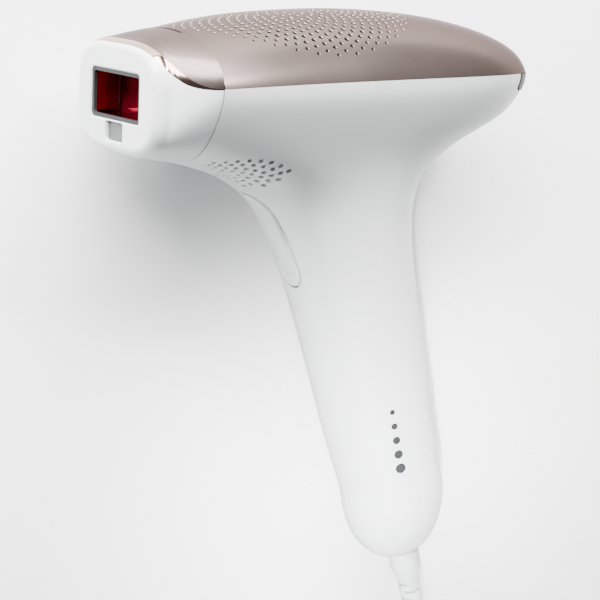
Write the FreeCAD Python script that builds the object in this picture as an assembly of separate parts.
"""IPL hair remover: pistol-shaped light-pulse device with a pull-off treatment head,
lying on its side, and its detachable low-voltage lead with a wall adapter.

Every piece is drawn in the device's own axes and then laid down by lay_down().
Device axes, mm: X to the rear, Y up through the perforated cover, Z across, away
from the side that it lies on.  Y = 0 is the parting between white and brown shells.
"""
import FreeCAD
import Part
import math
import os

Vector = FreeCAD.Vector
X_AXIS = Vector(1, 0, 0)
Y_AXIS = Vector(0, 1, 0)
Z_AXIS = Vector(0, 0, 1)

# ---------------------------------------------------------------- driving dimensions
WALL = 2.2
GAP = 0.3                     # clearance between shells that come apart
SEAM_X = -41.5                # where the treatment head pulls off
FACE_X = -59.2                # flat skin face of the treatment head
TAIL_X = 88.0                 # rear tip

# White housing: sizes at heights measured from the parting, (height, value)
REAR = [(0, TAIL_X), (-4, 87.4), (-9, 84.9), (-15, 78.3), (-22, 63.4), (-30, 51.3),
        (-42, 45.6), (-62, 46.7), (-100, 54.5), (-130, 61.2), (-138, 63.5)]
FRONT = [(0, -78), (-10, -74), (-18, -63), (-24, -48), (-30, -27), (-36, -14.5), (-46, -4.8),
         (-62, 3.6), (-100, 17), (-130, 27.4), (-138, 30.8)]
HALF_WIDTH = [(0, 34.6), (-4, 34.2), (-10, 32.2), (-18, 28.6), (-28, 24.2), (-40, 21.2),
              (-55, 20), (-80, 19), (-110, 17.6), (-130, 16.6)]
WIDEST_X = [(0, -23), (-15, -11), (-30, 12), (-45, 21), (-62, 25.5), (-100, 36), (-130, 44)]
END_Y = -134.0                # the handle's rounded end starts here
END_LENGTH = 25.0
END_POWER = 2.5

# Brown top cover: ridge height along the length, (x, height)
RIDGE = [(-60, 9.5), (-52, 11.3), (-44, 13.2), (-25, 16.9), (0, 18.8), (15, 19), (32, 18.2),
         (50, 16.2), (66, 12.8), (78, 8.6), (84, 5), (TAIL_X, 1)]
COVER_BASE = -3.0             # the arches start below the parting and are trimmed to it
AIR_MIDDLE_X = 12.0           # oval field of air inlets in the cover
AIR_HALF_LENGTH = 46.0
AIR_HALF_WIDTH = 25.0
AIR_PITCH_X = 5.6
AIR_PITCH_Z = 3.6
AIR_RADIUS = 0.75

# The parting line is arched: it drops towards both ends
CAMBER_X = 20.0
CAMBER_SPAN = 62.0
CAMBER_DROP = 1.1

# Treatment head
FACE_Y = -6.2                 # middle of the skin face
FACE_WIDTH = 42.0
FACE_HEIGHT = 28.0
FACE_ROUND = 5.0
WINDOW_Y = -5.7
WINDOW_WIDTH = 27.0
WINDOW_HEIGHT = 12.6
FRAME_RIM = 1.2
SENSOR_Y = (-19.4, -13.6)
SENSOR_Z = (-5.2, 5.2)
CLIP_Y = (-9, -2.4)
NOTCH_HALF = 9.0              # finger notch at the seam, on the ridge
GRIP_Y = -27.2                # middle of the finger groove under the seam
GRIP_HALF = 8.0
GRIP_RADIUS = 2.6
RIBBON_UPPER = [(-41.0, -0.9), (-45, -0.7), (-48, 0.4), (-50.5, 2.2), (-52.8, 4.8), (-55, 8),
                (-56.3, 10.5), (-57, 14)]
RIBBON_LOWER = [(-41.0, -1.3), (-46.6, -1.2), (-50.8, 0), (-54.2, 3), (-56.7, 5.8),
                (-58.2, 8.9), (-58.8, 14)]

# Handle axis: internals of the handle, its socket and the plug lie along it
HANDLE_TOP = Vector(25.3, -62, 0)
HANDLE_LEAN = math.radians(14.3)
ALONG = Vector(math.sin(HANDLE_LEAN), -math.cos(HANDLE_LEAN), 0)
ACROSS = Vector(math.cos(HANDLE_LEAN), math.sin(HANDLE_LEAN), 0)
SOCKET_OUT = 98.0             # distance along the axis where the plug meets the housing
SOCKET_SHIFT = 2.0            # the socket sits this far behind the axis
SOCKET_BORE = 5.4             # hole in the housing that the socket shows through
SOCKET_DEPTH = 17.0
CAPACITOR_RADIUS = 11.0
CAPACITOR_LENGTH = 40.0
CAPACITOR_SHIFT = -2.8        # in front of the handle's axis

# Flash button, hinged at its upper end
BUTTON_TOP = -36.8
BUTTON_BOTTOM = -67.8
BUTTON_HALF = 6.2
BUTTON_PROUD = 0.7
BUTTON_THICK = 1.6
BUTTON_GAP = 0.35
HINGE = Vector(-1.2, -39.2, 0)
HINGE_LEAN = math.atan2(12.3, 27.5)
PRESS_ALONG = Vector(math.sin(HINGE_LEAN), -math.cos(HINGE_LEAN), 0)
PRESS_IN = Vector(math.cos(HINGE_LEAN), math.sin(HINGE_LEAN), 0)
PIVOT_RADIUS = 1.0
SPRING_ALONG = 11.0           # spring's place, measured from the hinge

# Power button, on the centre plane under the tail
POWER_AT = Vector(81.6, -12.4, 0)
POWER_OUT = Vector(0.68, -0.73, 0).normalize()
POWER_RADIUS = 4.4
POWER_TRAVEL = 0.8
POWER_DEPTH = 6.2             # depth of the switch under the button

# Display lens: dark strip wrapped round the tail just under the cover
LENS_HALF = 17.0
LENS_TOP = 6.0
LENS_BOTTOM = -6.6
LENS_PROUD = 0.25

# Light module behind the window
LAMP_X = -30.0
REFLECTOR_RADIUS = 7.4
REFLECTOR_HALF = 15.0
LAMP_RADIUS = 3.0
LAMP_HALF = 17.5
NOSE_X = (-50, -39.3)
NOSE_WIDTH = 39.6
NOSE_HEIGHT = 22.0
GLASS_WIDTH = 31.0
GLASS_HEIGHT = 16.6

# Cooling fan under the perforated cover
FAN_X = 15.0
FAN_SIZE = 40.0
FAN_LOW = -0.5
FAN_HIGH = 9.5
BLADES = 7

# Chassis tray across the neck
TRAY_Y = (-29.2, -27.2)
SCREW_PLACES = [(-1, 12.6), (34, 12)]

# Resting attitude: lying on the head's side and the handle's end
TILT = 7.7                    # degrees about X
ROLL = 3.5                    # degrees about Y
ORIGIN_SHIFT = Vector(-13.8, 69.19, 37.56)

RESTING = FreeCAD.Placement(ORIGIN_SHIFT, FreeCAD.Rotation(Y_AXIS, ROLL).multiply(
    FreeCAD.Rotation(X_AXIS, TILT)))

# Detachable lead: its plug and strain relief lie along the handle's axis
PLUG_OUT = SOCKET_OUT + 0.4
RELIEF_FROM = PLUG_OUT + 9.6
RELIEF_TO = 134.0
CORD_DIAMETER = 4.5

# The rest of the lead lies on the floor, in the resting frame: a coil and the adapter
COIL_CENTRE = Vector(25.5, -178, 0)
COIL_RADII = [31, 26.5, 22]           # turn radii of one layer
COIL_LAYERS = 3
COIL_TOP_TURNS = 1.25                 # the last turns lie on top, at the middle radius
COIL_TOP = CORD_DIAMETER * (COIL_LAYERS + 0.5)
CORD_BENDS = [Vector(53.9, -158.5, 3.1), Vector(56.5, -178, 2.3)]
CORD_END_ROUTE = [Vector(25.5, -204.5, 15.75), Vector(14.5, -205.2, 15.1),
                  Vector(3, -205.1, 15.3), Vector(-7, -204.5, 16)]
ADAPTER_X = (-76, -20)
ADAPTER_Y = (-219.5, -189.5)
ADAPTER_Z = (0, 40)
ADAPTER_WALL = 2.0
ADAPTER_BACK = 9.0                    # depth of the half that carries the pins
PIN_X = -58.0
PIN_RADIUS = 2.0
PIN_ROOT_RADIUS = 2.6
PIN_LENGTH = 19.0
PIN_HEIGHTS = (10.7, 29.3)


# ---------------------------------------------------------------- curves and bodies
def smooth_curve(points):
    """Natural cubic spline through (t, value) points, as a function of t."""
    points = sorted(points)
    t = [point[0] for point in points]
    v = [point[1] for point in points]
    last = len(points) - 1
    ratio = [0.0] * (last + 1)
    part = [0.0] * (last + 1)
    for i in range(1, last):
        before = t[i] - t[i - 1]
        after = t[i + 1] - t[i]
        turn = (v[i + 1] - v[i]) / after - (v[i] - v[i - 1]) / before
        pivot = 2 * (before + after) - before * ratio[i - 1]
        ratio[i] = after / pivot
        part[i] = (6 * turn - before * part[i - 1]) / pivot
    bend = [0.0] * (last + 1)
    for i in range(last - 1, 0, -1):
        bend[i] = part[i] - ratio[i] * bend[i + 1]

    def value(at):
        i = 0
        while i < last - 1 and t[i + 1] <= at:
            i += 1
        span = t[i + 1] - t[i]
        a = (t[i + 1] - at) / span
        b = (at - t[i]) / span
        sag = (a ** 3 - a) * bend[i] + (b ** 3 - b) * bend[i + 1]
        return a * v[i] + b * v[i + 1] + sag * span * span / 6
    return value


rear_at = smooth_curve(REAR)
front_at = smooth_curve(FRONT)
half_width_at = smooth_curve(HALF_WIDTH)
widest_at = smooth_curve(WIDEST_X)
ridge_at = smooth_curve(RIDGE)


def camber_at(x):
    return -CAMBER_DROP * ((x - CAMBER_X) / CAMBER_SPAN) ** 2


def housing_sizes(height):
    """Front, rear, half width and widest place of the housing's slice at a height."""
    level = max(height, END_Y)
    front, rear = front_at(level), rear_at(level)
    half, widest = half_width_at(level), widest_at(level)
    if height >= END_Y:
        return front, rear, half, widest
    depth = min(1.0, (END_Y - height) / END_LENGTH)
    shrink = math.sqrt(max(0.0, 1 - depth ** END_POWER))
    middle = widest - 0.3 * depth
    return middle + (front - widest) * shrink, middle + (rear - widest) * shrink, half * shrink, middle


def squareness(height):
    """How square a slice is at its front and rear: 2 is an ellipse."""
    near_top = max(0.0, min(1.0, (height + 40) / 30))
    return 2.2 + 0.4 * near_top, 2.2 + 0.1 * near_top


def oval_reach(cos_a, sin_a, power):
    return (abs(cos_a) ** power + abs(sin_a) ** power) ** (-1 / power)


def housing_row(height, inset, steps=18):
    """Half slice from the front middle to the rear middle, on the +Z side."""
    front, rear, half, widest = housing_sizes(height)
    front_power, rear_power = squareness(height)
    row = []
    for i in range(steps + 1):
        angle = math.pi * i / steps
        c, s = -math.cos(angle), math.sin(angle)
        if c < 0:
            reach = oval_reach(c, s, front_power)
            x = widest + (widest - front - inset) * reach * c
        else:
            reach = oval_reach(c, s, rear_power)
            x = widest + (rear - inset - widest) * reach * c
        z = (half - inset) * reach * s
        row.append(Vector(x, height + inset, 0 if i in (0, steps) else z))
    return row


def plan_half(x):
    """Half width of the device at the parting."""
    front, rear, half, widest = housing_sizes(0)
    front_power, rear_power = squareness(0)
    power = front_power if x < widest else rear_power
    reach = widest - front if x < widest else rear - widest
    return half * max(0.0, 1 - (abs(x - widest) / reach) ** power) ** (1 / power)


def cover_row(x, inset, shift=0.0, steps=20):
    """Arch across the top cover, from +Z down to the base on -Z."""
    half = plan_half(x) - inset
    base = COVER_BASE - (1 if inset > 0 else 0)
    rise = ridge_at(x) - inset - base
    row = []
    for i in range(steps + 1):
        angle = math.pi * i / steps
        height = base if i in (0, steps) else base + rise * math.sin(angle)
        row.append(Vector(x + shift, height, half * math.cos(angle)))
    return row


def lofted_body(rows):
    """Solid with a smooth skin through the rows, closed by flat faces."""
    surface = Part.BSplineSurface()
    surface.interpolate(rows)
    skin = surface.toShape()
    corners = [rows[0][0], rows[0][-1], rows[-1][-1], rows[-1][0]]

    def edge_between(a, b):
        def misfit(edge):
            ends = (edge.Vertexes[0].Point, edge.Vertexes[-1].Point)
            same = ends[0].distanceToPoint(a) + ends[1].distanceToPoint(b)
            swapped = ends[0].distanceToPoint(b) + ends[1].distanceToPoint(a)
            return min(same, swapped)
        return min(skin.Edges, key=misfit)

    def flat_face(edges):
        return Part.Face(Part.Wire(Part.__sortEdges__(edges)))

    first = edge_between(corners[0], corners[1])
    end_side = edge_between(corners[1], corners[2])
    last = edge_between(corners[2], corners[3])
    start_side = edge_between(corners[3], corners[0])
    first_chord = Part.makeLine(corners[0], corners[1])
    last_chord = Part.makeLine(corners[2], corners[3])
    faces = [skin.Faces[0], flat_face([first, first_chord]), flat_face([last, last_chord]),
             flat_face([start_side, first_chord, end_side, last_chord])]
    shell = Part.makeShell(faces)
    shell.sewShape()
    solid = Part.makeSolid(shell)
    if solid.Volume < 0:
        solid.reverse()
    return solid


def box(x_range, y_range, z_range):
    size = [pair[1] - pair[0] for pair in (x_range, y_range, z_range)]
    return Part.makeBox(size[0], size[1], size[2], Vector(x_range[0], y_range[0], z_range[0]))


def rounded_box(x_range, y_range, z_range, radius, axis):
    """Box with its four edges along an axis rounded."""
    solid = box(x_range, y_range, z_range)
    edges = [edge for edge in solid.Edges if abs(edge.tangentAt(0).dot(axis)) > 0.9]
    return solid.makeFillet(radius, edges)


def block(origin, along, inward, along_range, inward_range, z_range):
    """Box whose sides follow two directions of the side view and Z."""
    corners = []
    for a, n in ((0, 0), (1, 0), (1, 1), (0, 1)):
        point = origin + along * along_range[a] + inward * inward_range[n]
        corners.append(Vector(point.x, point.y, z_range[0]))
    face = Part.Face(Part.makePolygon(corners + corners[:1]))
    return face.extrude(Vector(0, 0, z_range[1] - z_range[0]))


def rod(start, direction, radius, length):
    return Part.makeCylinder(radius, length, start, direction)


def tube(start, direction, outer, inner, length):
    return rod(start, direction, outer, length).cut(rod(start, direction, inner, length))


def mirrored(shape):
    return shape.mirror(Vector(0, 0, 0), Z_AXIS)


def joined(shapes):
    whole = shapes[0].multiFuse(shapes[1:])
    return whole.removeSplitter()


def side_prism(points, closing, half_depth=60.0):
    """Extrudes across the device the area between a side-view curve and a polyline."""
    curve = Part.BSplineCurve()
    curve.interpolate([Vector(x, y, -half_depth) for x, y in points])
    corners = [Vector(x, y, -half_depth) for x, y in [points[-1]] + closing + [points[0]]]
    edges = [curve.toShape()] + Part.makePolygon(corners).Edges
    face = Part.Face(Part.Wire(Part.__sortEdges__(edges)))
    return face.extrude(Vector(0, 0, 2 * half_depth))


# ---------------------------------------------------------------- outer forms
HOUSING_HEIGHTS = [0, -3, -7, -11, -15, -19, -23, -27, -31, -36, -43, -52, -64, -80, -98,
                   -116, END_Y]
END_ANGLES = [12, 24, 36, 48, 58, 67, 75]
END_TIP_ANGLES = [81, 85, 88]


def housing_form(inset, top):
    """Half of the housing's outer form (inset 0) or of its hollow (inset WALL)."""
    heights = list(HOUSING_HEIGHTS)
    angles = END_ANGLES if inset > 0 else END_ANGLES + END_TIP_ANGLES
    heights += [END_Y - END_LENGTH * math.sin(math.radians(angle)) for angle in angles]
    rows = [housing_row(height, inset) for height in heights]
    top_row = [Vector(p.x, top, p.z) for p in housing_row(top - inset, inset)]
    return lofted_body([top_row] + rows)


COVER_STATIONS = [-28, -18, -8, 2, 12, 22, 32, 42, 50, 58, 65, 71, 76, 80]
COVER_TAIL = [83, 85.3, 87, 87.8]


def cover_form(inset):
    """The top cover's outer form (inset 0) or its hollow (inset WALL)."""
    if inset == 0:
        stations = [(x, 0) for x in [SEAM_X - 2, -36] + COVER_STATIONS + COVER_TAIL]
    else:
        stations = [(x, 0) for x in [SEAM_X - 3, -36]]
        stations += [(x, -inset * max(0.0, x / 80)) for x in COVER_STATIONS + COVER_TAIL[:1]]
    return lofted_body([cover_row(x, inset, shift) for x, shift in stations])


def above_parting():
    """Everything above the arched parting line."""
    points = [(x, camber_at(x)) for x in range(-80, 121, 20)]
    return side_prism(points, [(120, 60), (-80, 60)])


def seam_depth():
    """Depth below the parting at which the housing's front profile meets the seam."""
    low, high = -30.0, -10.0
    for _ in range(40):
        middle = (low + high) / 2
        if front_at(middle) > SEAM_X:
            low = middle
        else:
            high = middle
    return -low


SEAM_DEPTH = seam_depth()


def seam_loop(angle):
    """Outline of the device at the seam: height and half width."""
    if angle >= 0:
        return ridge_at(SEAM_X) * math.sin(angle), plan_half(SEAM_X) * math.cos(angle)
    height = SEAM_DEPTH * math.sin(angle)
    front, _, half, widest = housing_sizes(height)
    power = squareness(height)[0]
    share = min(1.0, (widest - SEAM_X) / (widest - front))
    return height, half * (1 - share ** power) ** (1 / power)


def face_loop(angle, width, height, power):
    """Rounded rectangle of the skin face: height and half width."""
    c, s = math.cos(angle), math.sin(angle)
    rise = math.copysign(abs(s) ** (2 / power), s)
    return FACE_Y + height / 2 * rise, width / 2 * abs(c) ** (2 / power)


HEAD_SECTIONS = 10
HEAD_ROUND_SECTIONS = 5
HEAD_STEPS = 24


def head_sections():
    """Sections of the treatment head from seam to face: x and its loop."""
    wide = FACE_WIDTH + 1.5 * FACE_ROUND
    high = FACE_HEIGHT + 1.4 * FACE_ROUND
    angles = [math.radians(-90 + 180 * i / HEAD_STEPS) for i in range(HEAD_STEPS + 1)]
    sections = []
    for i in range(HEAD_SECTIONS):
        along = i / (HEAD_SECTIONS - 1)
        x = SEAM_X - GAP + (FACE_X + FACE_ROUND - SEAM_X + GAP) * along
        share = along ** 1.15
        loop = []
        for angle in angles:
            seam = seam_loop(angle)
            face = face_loop(angle, wide, high, 3.2)
            loop.append([a * (1 - share) + b * share for a, b in zip(seam, face)])
        sections.append((x, loop))
    for i in range(1, HEAD_ROUND_SECTIONS + 1):
        turn = math.pi / 2 * i / HEAD_ROUND_SECTIONS
        curl = 1 - math.cos(turn)
        x = FACE_X + FACE_ROUND - FACE_ROUND * math.sin(turn)
        width = wide + (FACE_WIDTH - wide) * curl
        height = high + (FACE_HEIGHT - high) * curl
        power = 3.2 + 0.8 * curl
        sections.append((x, [face_loop(angle, width, height, power) for angle in angles]))
    return sections


def head_row(x, loop, inset):
    heights = [point[0] for point in loop]
    middle = (max(heights) + min(heights)) / 2
    half_height = (max(heights) - min(heights)) / 2
    half_width = max(point[1] for point in loop)
    row = []
    for i, (height, width) in enumerate(loop):
        y = middle + (height - middle) * (1 - inset / half_height)
        z = width * (1 - inset / half_width)
        row.append(Vector(x, y, 0 if i in (0, len(loop) - 1) else z))
    return row


def head_form(inset, back=0.0):
    """Treatment head's outer form, or its hollow, closed behind the skin face."""
    sections = head_sections()
    if inset > 0:
        sections = [(x, loop) for x, loop in sections if x > FACE_X + WALL]
        first_x, first_loop = sections[0]
        sections[0] = (first_x + back, first_loop)
    half = lofted_body([head_row(x, loop, inset) for x, loop in sections])
    return joined([half, mirrored(half)])


# ---------------------------------------------------------------- shells
ABOVE = above_parting()
BEHIND_SEAM = box((SEAM_X, 200), (-200, 60), (-80, 80))
HOUSING_OUT = housing_form(0, 2.5)
HOUSING_IN = housing_form(WALL, 4.5)
COVER_OUT = cover_form(0)
COVER_IN = cover_form(WALL)


def handle_point(along, across=0.0, z=0.0):
    point = HANDLE_TOP + ALONG * along + ACROSS * across
    return Vector(point.x, point.y, z)


def press_point(along, inward, z=0.0):
    point = HINGE + PRESS_ALONG * along + PRESS_IN * inward
    return Vector(point.x, point.y, z)


def button_prism(margin):
    """Long rounded outline of the flash button, run through the handle's front."""
    half = BUTTON_HALF - margin
    low, high = BUTTON_BOTTOM + margin, BUTTON_TOP - margin
    front, depth = -30.0, 44.0
    middle = box((front, front + depth), (low + half, high - half), (-half, half))
    ends = [rod(Vector(front, y, 0), X_AXIS, half, depth) for y in (low + half, high - half)]
    return joined([middle] + ends)


def vent_holes():
    """Staggered air outlets on the housing's underside in front of the handle."""
    holes = []
    for row in range(5):
        x = -35.0 + 5.2 * row
        first = 5.5 if row % 2 else 3.4
        for column in range(5):
            z = first + 4.2 * column
            if z < 9 + 3.2 * row and z < 21:
                holes.append(rod(Vector(x, -40, z), Y_AXIS, 0.8, 22))
    return holes


def screw_bosses():
    """Posts inside the housing that the chassis tray is screwed down on."""
    posts = []
    for x, z in SCREW_PLACES:
        posts.append(tube(Vector(x, -48, z), Y_AXIS, 3.2, 1.1, 48 - 29.3))
    return posts


def housing_half():
    """Housing half on the +Z side."""
    shell = HOUSING_OUT.cut(HOUSING_IN)
    posts = [post.common(HOUSING_OUT) for post in screw_bosses()]
    shell = joined([shell] + posts)
    socket = handle_point(SOCKET_OUT - 20, SOCKET_SHIFT)
    cuts = [button_prism(0), rod(socket, ALONG, SOCKET_BORE, 30), lens_prism(0),
            rod(POWER_AT - POWER_OUT * 6, POWER_OUT, POWER_RADIUS + GAP, 12)] + vent_holes()
    shell = shell.common(BEHIND_SEAM).cut(ABOVE)
    return shell.cut(Part.makeCompound(cuts))


def housing_left():
    return housing_half()


def housing_right():
    return mirrored(housing_half())


def cover_holes():
    """Staggered air inlets over an oval area of the top cover."""
    holes = []
    for row in range(-8, 9):
        for column in range(-7, 8):
            x = AIR_PITCH_X * row
            z = AIR_PITCH_Z * (column + (0.5 if row % 2 else 0))
            if (x / AIR_HALF_LENGTH) ** 2 + (z / AIR_HALF_WIDTH) ** 2 < 1:
                holes.append(rod(Vector(AIR_MIDDLE_X + x, 0, z), Y_AXIS, AIR_RADIUS, 30))
    return holes


def top_cover():
    shell = COVER_OUT.cut(COVER_IN).common(BEHIND_SEAM).common(ABOVE)
    return shell.cut(Part.makeCompound(cover_holes()))


def lens_prism(margin):
    half = LENS_HALF - margin
    return rounded_box((68, 100), (LENS_BOTTOM + margin, LENS_TOP), (-half, half), 2.0, X_AXIS)


def display_lens():
    outer = housing_form(-LENS_PROUD, 2.0)
    strip = joined([outer, mirrored(outer)]).cut(full(HOUSING_IN))
    return strip.common(lens_prism(0.1)).cut(ABOVE.translated(Vector(0, -0.1, 0)))


def full(half):
    return joined([half, mirrored(half)])


# ---------------------------------------------------------------- treatment head
def head_shells():
    """White shell, brown top and metallic ribbon of the treatment head."""
    skin = head_form(0).cut(head_form(WALL + 0.2, back=2.0))
    frame_hole = rounded_box((FACE_X - 5, FACE_X + 10), span(WINDOW_Y, WINDOW_HEIGHT + 2 * FRAME_RIM),
                             span(0, WINDOW_WIDTH + 2 * FRAME_RIM), 1.6, X_AXIS)
    sensor_hole = rounded_box((FACE_X - 5, FACE_X + 10), SENSOR_Y, SENSOR_Z, 1.0, X_AXIS)
    notch = box((SEAM_X - 1.1, SEAM_X), (8, 20), (-NOTCH_HALF, NOTCH_HALF))
    grip = rod(Vector(SEAM_X - 1.5, GRIP_Y, -GRIP_HALF), Z_AXIS, GRIP_RADIUS, 2 * GRIP_HALF)
    skin = skin.cut(Part.makeCompound([frame_hole, sensor_hole, notch, grip]))
    above_upper = side_prism(RIBBON_UPPER, [(-57, 40), (-30, 40), (-30, -0.9)])
    above_lower = side_prism(RIBBON_LOWER, [(-58.8, 40), (-30, 40), (-30, -1.3)])
    top = skin.common(above_upper)
    ribbon = skin.common(above_lower).cut(above_upper)
    return skin.cut(above_lower), top, ribbon


def span(middle, size):
    return (middle - size / 2, middle + size / 2)


def window_frame():
    """Dark rim set a little below the skin face."""
    outer = rounded_box((FACE_X + 0.6, FACE_X + 3.4), span(WINDOW_Y, WINDOW_HEIGHT + 2 * FRAME_RIM - 0.1),
                        span(0, WINDOW_WIDTH + 2 * FRAME_RIM - 0.1), 1.6, X_AXIS)
    inner = rounded_box((FACE_X, FACE_X + 4), span(WINDOW_Y, WINDOW_HEIGHT),
                        span(0, WINDOW_WIDTH), 0.8, X_AXIS)
    return outer.cut(inner)


def mirror_tunnel():
    """Polished tube that guides the pulse from the lamp window to the skin."""
    wall = 0.5
    outer = box((FACE_X + 3.5, -50.2), span(WINDOW_Y, WINDOW_HEIGHT + 2 * wall),
                span(0, WINDOW_WIDTH + 2 * wall))
    inner = box((FACE_X + 3, -50), span(WINDOW_Y, WINDOW_HEIGHT), span(0, WINDOW_WIDTH))
    return outer.cut(inner)


def sensor_window():
    """Grey skin-tone sensor window below the light window."""
    y_range = (SENSOR_Y[0] + 0.1, SENSOR_Y[1] - 0.1)
    z_range = (SENSOR_Z[0] + 0.1, SENSOR_Z[1] - 0.1)
    return rounded_box((FACE_X + 1.2, FACE_X + 2.6), y_range, z_range, 0.9, X_AXIS)


def sensor_board():
    board = box((FACE_X + 4.2, FACE_X + 5.2), (-19, -14), (-7, 7))
    chips = [box((FACE_X + 2.9, FACE_X + 4.2), (-17.5, -15.5), (z - 1, z + 1)) for z in (-3, 3)]
    return joined([board] + chips)


def head_clips():
    """Two snap arms on the treatment head that grip the nose frame."""
    clips = []
    for side in (-1, 1):
        z_range = tuple(sorted((side * 20.1, side * 21.4)))
        clips.append(box((-54.2, -43), CLIP_Y, z_range))
    return Part.makeCompound(clips)


# ---------------------------------------------------------------- light module
def front_bulkhead():
    """Wall that closes the device behind the treatment head, around the nose frame."""
    slab = box((SEAM_X + 0.2, SEAM_X + 2.0), (-60, 60), (-60, 60))
    wall = joined([full(HOUSING_IN).cut(ABOVE), COVER_IN.common(ABOVE)]).common(slab)
    shrink = FreeCAD.Matrix()
    shrink.scale(1, 0.985, 0.985)
    wall = wall.transformGeometry(shrink)
    hole = box((-60, -20), span(WINDOW_Y, NOSE_HEIGHT + 0.2), span(0, NOSE_WIDTH + 0.2))
    return wall.cut(hole)


def nose_frame():
    """Frame that the treatment head slides over; it holds the filter glass."""
    outer = rounded_box(NOSE_X, span(WINDOW_Y, NOSE_HEIGHT), span(0, NOSE_WIDTH), 2.0, X_AXIS)
    opening = box((-60, -30), span(WINDOW_Y, GLASS_HEIGHT + 0.2), span(0, GLASS_WIDTH + 0.2))
    return outer.cut(opening)


def filter_glass():
    """Red cut-off filter that only lets the treatment wavelengths out."""
    return box((-48.6, -46.6), span(WINDOW_Y, GLASS_HEIGHT), span(0, GLASS_WIDTH))


def optics_housing():
    outer = box((-39.2, -19), span(WINDOW_Y, 22), span(0, 43.6))
    inner = box((-39.3, -20.6), span(WINDOW_Y, 19.8), span(0, 40.8))
    wires = [rod(Vector(LAMP_X, WINDOW_Y, side * 18), Z_AXIS * side, 1.6, 6) for side in (-1, 1)]
    return outer.cut(inner).cut(Part.makeCompound(wires))


def reflector():
    """Polished trough around the lamp, open towards the window."""
    sheet = 0.6
    half = REFLECTOR_HALF
    outer = rod(Vector(LAMP_X, WINDOW_Y, -half), Z_AXIS, REFLECTOR_RADIUS, 2 * half)
    inner = rod(Vector(LAMP_X, WINDOW_Y, -half), Z_AXIS, REFLECTOR_RADIUS - sheet, 2 * half)
    legs_out = box((-46, LAMP_X), span(WINDOW_Y, 2 * REFLECTOR_RADIUS), (-half, half))
    legs_in = box((-47, LAMP_X), span(WINDOW_Y, 2 * (REFLECTOR_RADIUS - sheet)), (-half, half))
    return joined([outer, legs_out]).cut(joined([inner, legs_in]))


def flash_lamp():
    return rod(Vector(LAMP_X, WINDOW_Y, -LAMP_HALF), Z_AXIS, LAMP_RADIUS, 2 * LAMP_HALF)


def lamp_electrodes():
    """Metal caps on both ends of the lamp."""
    ends = []
    for side in (-1, 1):
        start = Vector(LAMP_X, WINDOW_Y, side * LAMP_HALF)
        ends.append(joined([rod(start, Z_AXIS * side, 2.6, 1.6), rod(start, Z_AXIS * side, 0.8, 4.6)]))
    return Part.makeCompound(ends)


def lamp_holders():
    """Ceramic blocks that carry the lamp at both ends."""
    blocks = []
    for side in (-1, 1):
        z_range = tuple(sorted((side * 15.3, side * 17.3)))
        body = box((LAMP_X - 6, LAMP_X + 6), span(WINDOW_Y, 13), z_range)
        blocks.append(body.cut(rod(Vector(LAMP_X, WINDOW_Y, -30), Z_AXIS, LAMP_RADIUS + 0.1, 60)))
    return Part.makeCompound(blocks)


def heatsink():
    """Finned plate behind the light module, in the fan's air stream."""
    base = box((-18.8, -16.6), span(WINDOW_Y, 21), (-19, 19))
    fins = [box((-16.7, -6.5), span(WINDOW_Y, 19), (z - 0.5, z + 0.5)) for z in range(-18, 19, 4)]
    return joined([base] + fins)


# ---------------------------------------------------------------- fan
def fan_housing():
    half = FAN_SIZE / 2
    frame = rounded_box((FAN_X - half, FAN_X + half), (FAN_LOW, FAN_HIGH), (-half, half), 4.0, Y_AXIS)
    frame = frame.cut(rod(Vector(FAN_X, FAN_LOW - 1, 0), Y_AXIS, half - 1.2, 20))
    hub = rod(Vector(FAN_X, FAN_LOW, 0), Y_AXIS, 8, 1.4)
    arms = []
    for turn in (45, 135):
        arm = box((-half, half), (FAN_LOW, FAN_LOW + 1.4), (-1, 1))
        arm.rotate(Vector(0, 0, 0), Y_AXIS, turn)
        arms.append(arm.translated(Vector(FAN_X, 0, 0)))
    return joined([frame, hub] + arms)


def fan_motor():
    """Stator that stands on the fan housing's hub."""
    return joined([rod(Vector(FAN_X, FAN_LOW + 1.4, 0), Y_AXIS, 6, 3.6),
                   rod(Vector(FAN_X, FAN_LOW + 5, 0), Y_AXIS, 1.0, 3.4)])


def fan_impeller():
    cup = rod(Vector(FAN_X, FAN_LOW + 2, 0), Y_AXIS, 8.2, 7.4)
    cup = cup.cut(rod(Vector(FAN_X, FAN_LOW + 1, 0), Y_AXIS, 7, 7.2))
    cup = cup.cut(rod(Vector(FAN_X, FAN_LOW, 0), Y_AXIS, 1.1, 8.6))
    blades = []
    for i in range(BLADES):
        blade = box((7.8, 17.8), (FAN_LOW + 2.4, FAN_LOW + 8.8), (-0.6, 0.6))
        blade.rotate(Vector(12, FAN_LOW + 5.6, 0), X_AXIS, 35)
        blade = blade.common(rod(Vector(0, FAN_LOW + 2.2, 0), Y_AXIS, 18, 7))
        blade.rotate(Vector(0, 0, 0), Y_AXIS, 360 / BLADES * i)
        blades.append(blade.translated(Vector(FAN_X, 0, 0)))
    return joined([cup] + blades)


# ---------------------------------------------------------------- chassis and electronics
def chassis_tray():
    """Tray across the neck that carries the electronics of the head."""
    slab = full(HOUSING_IN).common(box((-60, 80), TRAY_Y, (-60, 60)))
    shrink = FreeCAD.Matrix()
    shrink.scale(0.96, 1, 0.96)
    tray = slab.transformGeometry(shrink)
    holes = [rod(Vector(x, -40, side * z), Y_AXIS, 1.3, 20) for x, z in SCREW_PLACES for side in (-1, 1)]
    holes.append(box((16, 28), (-40, -20), (-9, 9)))
    wall = box((-14, -4), (-27.3, -16.6), (-16, 16))
    wall = wall.cut(box((-13, -5), (-30, -10), (-14.5, 14.5)))
    return joined([tray, wall]).cut(Part.makeCompound(holes))


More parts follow.
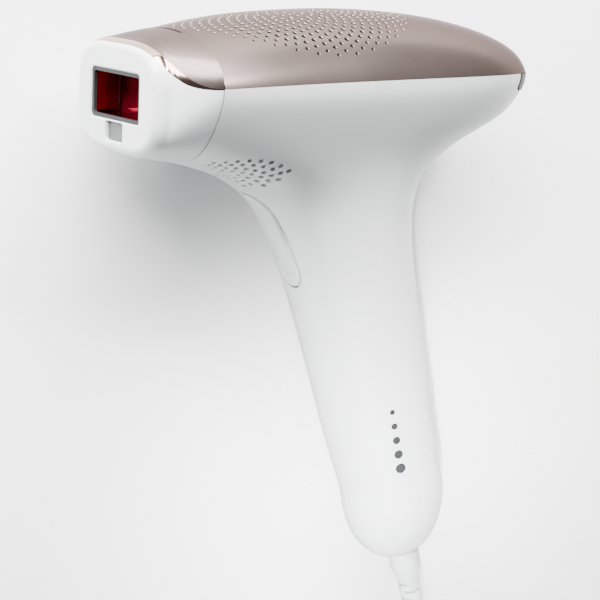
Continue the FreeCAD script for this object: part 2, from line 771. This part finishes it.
def chassis_screws():
    screws = []
    for x, z in SCREW_PLACES:
        for side in (-1, 1):
            head = rod(Vector(x, TRAY_Y[1], side * z), Y_AXIS, 2.3, 1.8)
            shank = rod(Vector(x, TRAY_Y[1] - 7, side * z), Y_AXIS, 1.05, 7)
            screws.append(joined([head, shank]))
    return Part.makeCompound(screws)


def control_board():
    return box((40, 69), (-8.6, -7), (-13, 13))


def board_chips():
    """Controller, driver and regulator soldered on the control board."""
    return Part.makeCompound([box((49, 57), (-7, -5.6), (-4, 4)),
                              box((58.5, 63.5), (-7, -5.8), (-9, -5)),
                              box((42, 46), (-7, -4.6), (5, 10)),
                              box((59, 63), (-7, -4), (4, 9))])


def level_lights():
    """Five light-emitting diodes behind the display lens."""
    return Part.makeCompound([box((67, 69), (-7, -5.4), (z - 0.9, z + 0.9)) for z in range(-10, 11, 5)])


def power_button():
    cap = rod(POWER_AT - POWER_OUT * 2.0, POWER_OUT, POWER_RADIUS, 3.3)
    reach = POWER_DEPTH - POWER_TRAVEL - 0.2
    stem = rod(POWER_AT - POWER_OUT * reach, POWER_OUT, 1.6, reach - 1.9)
    return joined([cap, stem])


def power_switch():
    """Click switch under the power button, on its own small board."""
    side = Vector(-POWER_OUT.y, POWER_OUT.x, 0)
    height = 3.2
    foot = POWER_AT - POWER_OUT * (POWER_DEPTH + height)
    board = block(foot, side, POWER_OUT, (-4.6, 4.6), (-1.2, 0), (-5, 5))
    return joined([board, rod(foot, POWER_OUT, 3.4, height)])


def transformer():
    core = box((4, 24), (-27.1, -12), (-8, 8)).cut(box((8, 20), (-28, -10), (-4, 4)))
    winding = box((7.8, 20.2), (-24.2, -14.8), (-10.5, 10.5))
    return joined([core, winding])


def trigger_coil():
    return rod(Vector(32, -23, -7), Z_AXIS, 4.1, 14)


def main_capacitor():
    can = rod(handle_point(8, CAPACITOR_SHIFT), ALONG, CAPACITOR_RADIUS, CAPACITOR_LENGTH)
    pins = [rod(handle_point(5, CAPACITOR_SHIFT, z), ALONG, 0.9, 3.2) for z in (-4, 4)]
    return joined([can] + pins)


def capacitor_clamp():
    """Sprung band that ties the capacitor to the power board."""
    inner = CAPACITOR_RADIUS + 0.05
    band = tube(handle_point(24, CAPACITOR_SHIFT), ALONG, inner + 0.75, inner, 8)
    foot = block(handle_point(0), ALONG, ACROSS, (24, 32), (8.6, 10.2), (-4, 4))
    core = rod(handle_point(20, CAPACITOR_SHIFT), ALONG, inner, 30)
    return joined([band, foot]).cut(core)


def power_board():
    return block(handle_point(0), ALONG, ACROSS, (-2, 54), (10.3, 11.7), (-8.5, 8.5))


def power_parts():
    """Power transistor, coil and small capacitors on the power board."""
    parts = [block(handle_point(0), ALONG, ACROSS, (2, 6.5), (7.6, 10.3), (-6.5, 3.5)),
             block(handle_point(0), ALONG, ACROSS, (37, 41), (8.9, 10.3), (-5, 5)),
             rod(handle_point(0, 3.5, 4.5), ACROSS, 2.2, 6.8)]
    return Part.makeCompound(parts)


def dc_socket():
    """Barrel socket at the end of the handle."""
    back = SOCKET_OUT - SOCKET_DEPTH
    body = rod(handle_point(back - 4, SOCKET_SHIFT), ALONG, SOCKET_BORE - 0.2, SOCKET_DEPTH)
    bore = rod(handle_point(back, SOCKET_SHIFT), ALONG, 2.85, SOCKET_DEPTH + 4)
    pin = rod(handle_point(back - 1, SOCKET_SHIFT), ALONG, 0.9, 9)
    return joined([body.cut(bore), pin])


def inner_wires():
    """Insulated wires from the lamp ends down to the capacitor."""
    return [wire_path([Vector(-30, -5.7, side * 24), Vector(-20, -16, side * 24),
                       Vector(-8, -22, side * 21.2), Vector(6, -24.5, side * 17.5),
                       Vector(14, -25, side * 12.6)], 1.0) for side in (-1, 1)]


def wire_path(points, radius):
    """Round wire along straight runs joined by tangent arcs."""
    path = arc_path(points)
    start = path.Edges[0]
    direction = start.tangentAt(start.FirstParameter)
    circle = Part.Wire(Part.makeCircle(radius, points[0], direction))
    return path.makePipeShell([circle], True, False)


def arc_path(points):
    """Runs between the points, joined by arcs as large as the runs allow."""
    return arc_path_and_radii(points)[0]


def arc_path_and_radii(points):
    edges = []
    radii = []
    at = points[0]
    for i in range(1, len(points) - 1):
        before, after = points[i] - points[i - 1], points[i + 1] - points[i]
        cut = 0.45 * min(before.Length, after.Length)
        into, out = Vector(before).normalize(), Vector(after).normalize()
        turn = into.getAngle(out)
        radius = cut / math.tan(turn / 2)
        radii.append(radius)
        start, end = points[i] - into * cut, points[i] + out * cut
        inward = (out - into).normalize()
        middle = points[i] + inward * (radius / math.cos(turn / 2) - radius)
        edges.append(Part.LineSegment(at, start).toShape())
        edges.append(Part.Arc(start, middle, end).toShape())
        at = end
    edges.append(Part.LineSegment(at, points[-1]).toShape())
    return Part.Wire(edges), radii


# ---------------------------------------------------------------- flash button
def flash_button():
    """Curved push plate with its hinge lug."""
    outer = full(housing_form(-BUTTON_PROUD, 2.0))
    inner = full(housing_form(BUTTON_THICK, 4.5))
    plate = outer.cut(inner).common(button_prism(BUTTON_GAP))
    lug = block(HINGE, PRESS_ALONG, PRESS_IN, (-2, 2), (-6.8, 0), (-4, 4))
    knuckle = rod(press_point(0, 0, -4), Z_AXIS, 2.2, 8)
    hole = rod(press_point(0, 0, -10), Z_AXIS, PIVOT_RADIUS + 0.05, 20)
    return joined([plate, lug, knuckle]).cut(hole)


def button_pin():
    return rod(press_point(0, 0, -6.6), Z_AXIS, PIVOT_RADIUS, 13.2)


def button_bracket():
    """Bracket behind the flash button: hinge ears, spring cup and switch seat."""
    plate = block(HINGE, PRESS_ALONG, PRESS_IN, (-5, 31), (5.4, 7), (-8, 8))
    ears = []
    for side in (-1, 1):
        z_range = tuple(sorted((side * 4.3, side * 6.6)))
        ears.append(block(HINGE, PRESS_ALONG, PRESS_IN, (-2.4, 2.4), (-2.4, 5.5), z_range))
    cup = tube(press_point(SPRING_ALONG, 0.4), PRESS_IN, 4.0, 3.1, 5.1)
    hole = rod(press_point(0, 0, -10), Z_AXIS, PIVOT_RADIUS, 20)
    return joined([plate, cup] + ears).cut(hole)


def button_spring():
    """Coil spring that pushes the flash button out."""
    turns, pitch, radius, wire = 6, 1.2, 2.3, 0.25
    helix = Part.makeHelix(pitch, turns * pitch, radius)
    circle = Part.Wire(Part.makeCircle(wire, Vector(radius, 0, 0), Y_AXIS))
    spring = Part.Wire(helix).makePipeShell([circle], True, True)
    spring.rotate(Vector(0, 0, 0), Y_AXIS, 90)
    spring.rotate(Vector(0, 0, 0), Z_AXIS, math.degrees(HINGE_LEAN))
    return spring.translated(press_point(SPRING_ALONG, -2.8))


def micro_switch():
    body = block(HINGE, PRESS_ALONG, PRESS_IN, (17.5, 30), (-0.8, 5.3), (-3, 3))
    plunger = block(HINGE, PRESS_ALONG, PRESS_IN, (22.5, 25), (-1.6, -0.7), (-1.2, 1.2))
    return joined([body, plunger])


# ---------------------------------------------------------------- plug, lead and adapter
def lead_plug():
    """Small plug: barrel, bulb and the step that the strain relief grows from."""
    barrel = tube(handle_point(PLUG_OUT - 12.5, SOCKET_SHIFT), ALONG, 2.7, 1.25, 12.6)
    bulb = rod(handle_point(PLUG_OUT, SOCKET_SHIFT), ALONG, 5.0, 7.6)
    bulb = bulb.makeFillet(0.8, [edge for edge in bulb.Edges if edge.Closed][:2])
    step_length = RELIEF_FROM - PLUG_OUT - 7.5
    step = rod(handle_point(PLUG_OUT + 7.5, SOCKET_SHIFT), ALONG, 4.1, step_length)
    return joined([barrel, bulb, step])


def strain_relief():
    """Tapered sleeve with staggered slots that lets the cord bend gently at the plug."""
    start = handle_point(RELIEF_FROM, SOCKET_SHIFT)
    length = RELIEF_TO - RELIEF_FROM
    sleeve = Part.makeCone(3.55, 2.9, length, start, ALONG)
    sleeve = sleeve.cut(rod(start, ALONG, CORD_DIAMETER / 2, length))
    slots = []
    for row in range(8):
        for quarter in range(2):
            slot = box((2.45, 5), (2 + 2.5 * row, 3 + 2.5 * row), (-2, 2))
            slot.rotate(Vector(0, 0, 0), Y_AXIS, 180 * quarter + 90 * (row % 2))
            slots.append(slot)
    slots = Part.makeCompound(slots)
    slots.Placement = FreeCAD.Placement(start, FreeCAD.Rotation(Y_AXIS, ALONG))
    return sleeve.cut(slots)


def cord_stub():
    """The cord's end inside the strain relief."""
    start = handle_point(RELIEF_FROM, SOCKET_SHIFT)
    return rod(start, ALONG, CORD_DIAMETER / 2, RELIEF_TO - RELIEF_FROM)


def cord_route():
    """Corner points of the cord from the strain relief to the coil."""
    start = RESTING.multVec(handle_point(RELIEF_TO, SOCKET_SHIFT))
    second = RESTING.multVec(handle_point(RELIEF_TO + 19, SOCKET_SHIFT))
    return [start, second] + CORD_BENDS


def coil_solid():
    """Outer form of the whole coil."""
    half = CORD_DIAMETER / 2
    height = COIL_TOP + half
    return tube(COIL_CENTRE, Z_AXIS, max(COIL_RADII) + half, min(COIL_RADII) - half, height)


def coil_tie():
    """Strap round the coil's turns."""
    strap = 0.8
    half = CORD_DIAMETER / 2
    inner, outer = min(COIL_RADII) - half, max(COIL_RADII) + half
    band = box((-outer - strap, -inner + strap), (-4, 4), (0, COIL_TOP + half + strap))
    hole = box((-outer, -inner), (-5, 5), (strap, COIL_TOP + half))
    return band.cut(hole).translated(COIL_CENTRE)


def adapter_shells():
    """Front and back halves of the wall adapter's case."""
    whole = rounded_box(ADAPTER_X, ADAPTER_Y, ADAPTER_Z, 6, X_AXIS)
    hollow = rounded_box(grown(ADAPTER_X, -ADAPTER_WALL), grown(ADAPTER_Y, -ADAPTER_WALL),
                         grown(ADAPTER_Z, -ADAPTER_WALL), 4, X_AXIS)
    split = ADAPTER_Y[1] - ADAPTER_BACK
    outlet = rod(CORD_END_ROUTE[-1] - X_AXIS * 20, X_AXIS, 3.3, 30)
    case = whole.cut(hollow).cut(outlet)
    front = case.common(box((-100, 0), (-300, split), (-1, 50)))
    back = case.common(box((-100, 0), (split, 0), (-1, 50)))
    holes = [rod(Vector(PIN_X, ADAPTER_Y[1] - 5, z), Y_AXIS, PIN_ROOT_RADIUS, 10) for z in PIN_HEIGHTS]
    return front, back.cut(Part.makeCompound(holes))


def grown(pair, amount):
    return (pair[0] - amount, pair[1] + amount)


def adapter_pins():
    """Two round mains pins with domed ends and thicker roots in the case."""
    pins = []
    root = 4.0
    for z in PIN_HEIGHTS:
        face = Vector(PIN_X, ADAPTER_Y[1], z)
        pin = rod(face, Y_AXIS, PIN_RADIUS, PIN_LENGTH)
        end = max(pin.Edges, key=lambda edge: edge.BoundBox.YMin)
        pin = pin.makeFillet(1.2, [end])
        pins.append(joined([pin, rod(face - Y_AXIS * root, Y_AXIS, PIN_ROOT_RADIUS, root)]))
    return Part.makeCompound(pins)


def adapter_board():
    """Mains board of the adapter with its transformer."""
    board = box((-72, -26), (-212, -210.6), (4, 36))
    core = box((-56, -38), (-210.6, -197), (11, 29))
    return joined([board, core])


def adapter_relief():
    """Strain relief where the cord enters the adapter."""
    length = 13.0
    end = CORD_END_ROUTE[-1]
    sleeve = Part.makeCone(CORD_DIAMETER / 2 + 0.7, 3.4, length, end, X_AXIS * -1)
    return joined([sleeve, rod(end - X_AXIS * (length - 0.1), X_AXIS * -1, 3.2, 4.6)])


def lay_down(shape):
    """Turns a piece from the device's axes into the resting frame."""
    laid = shape.copy()
    laid.Placement = RESTING.multiply(laid.Placement)
    return laid


def device_pieces():
    """Every piece that is drawn in the device's axes."""
    head_white, head_brown, head_ribbon = head_shells()
    wires = inner_wires()
    return {
        "housing_left": housing_left(),
        "housing_right": housing_right(),
        "top_cover": top_cover(),
        "display_lens": display_lens(),
        "head_shell": head_white,
        "head_top": head_brown,
        "head_ribbon": head_ribbon,
        "window_frame": window_frame(),
        "mirror_tunnel": mirror_tunnel(),
        "sensor_window": sensor_window(),
        "sensor_board": sensor_board(),
        "head_clips": head_clips(),
        "front_bulkhead": front_bulkhead(),
        "nose_frame": nose_frame(),
        "filter_glass": filter_glass(),
        "optics_housing": optics_housing(),
        "reflector": reflector(),
        "flash_lamp": flash_lamp(),
        "lamp_electrodes": lamp_electrodes(),
        "lamp_holders": lamp_holders(),
        "heatsink": heatsink(),
        "fan_housing": fan_housing(),
        "fan_motor": fan_motor(),
        "fan_impeller": fan_impeller(),
        "chassis_tray": chassis_tray(),
        "chassis_screws": chassis_screws(),
        "control_board": control_board(),
        "board_chips": board_chips(),
        "level_lights": level_lights(),
        "power_button": power_button(),
        "power_switch": power_switch(),
        "transformer": transformer(),
        "trigger_coil": trigger_coil(),
        "main_capacitor": main_capacitor(),
        "capacitor_clamp": capacitor_clamp(),
        "power_board": power_board(),
        "power_parts": power_parts(),
        "dc_socket": dc_socket(),
        "lamp_wire_left": wires[1],
        "lamp_wire_right": wires[0],
        "flash_button": flash_button(),
        "button_pin": button_pin(),
        "button_bracket": button_bracket(),
        "button_spring": button_spring(),
        "micro_switch": micro_switch(),
        "lead_plug": lead_plug(),
        "strain_relief": strain_relief(),
    }


def lead_pieces():
    """The cord, its coil and the wall adapter, drawn in the resting frame."""
    radius = CORD_DIAMETER / 2
    coil = coil_solid()
    tie = coil_tie()
    cord = wire_path(cord_route(), radius)
    cord_end = wire_path(CORD_END_ROUTE, radius)
    report_cord("cord", cord, cord_route())
    report_cord("cord_end", cord_end, CORD_END_ROUTE)
    cord = joined([lay_down(cord_stub()), cord.cut(coil)])
    cord_end = cord_end.cut(coil)
    adapter_front, adapter_back = adapter_shells()
    return {
        "cord": cord,
        "cord_end": cord_end,
        "cord_coil": coil.cut(tie),
        "coil_tie": tie,
        "adapter_front": adapter_front,
        "adapter_back": adapter_back,
        "adapter_pins": adapter_pins(),
        "adapter_board": adapter_board(),
        "adapter_relief": adapter_relief(),
    }


def coil_length():
    """Length of cord in the coil's turns."""
    layer = sum(COIL_RADII)
    return 2 * math.pi * (layer * COIL_LAYERS + COIL_RADII[1] * COIL_TOP_TURNS)


def report_cord(name, solid, route):
    """Prints a cord's bend radii and compares its volume with section times length."""
    path, radii = arc_path_and_radii(route)
    section = math.pi * (CORD_DIAMETER / 2) ** 2
    print(name, "radii", [round(radius) for radius in radii], "length", round(path.Length, 1),
          "volume", round(solid.Volume), "section x length", round(section * path.Length))


def build():
    pieces = {name: lay_down(shape) for name, shape in device_pieces().items()}
    pieces.update(lead_pieces())
    return pieces


def main():
    os.makedirs("parts", exist_ok=True)
    for name, shape in build().items():
        shape.exportStep("parts/" + name + ".step")
    print("cord in the coil", round(coil_length()))


if __name__ == "__main__":
    main()
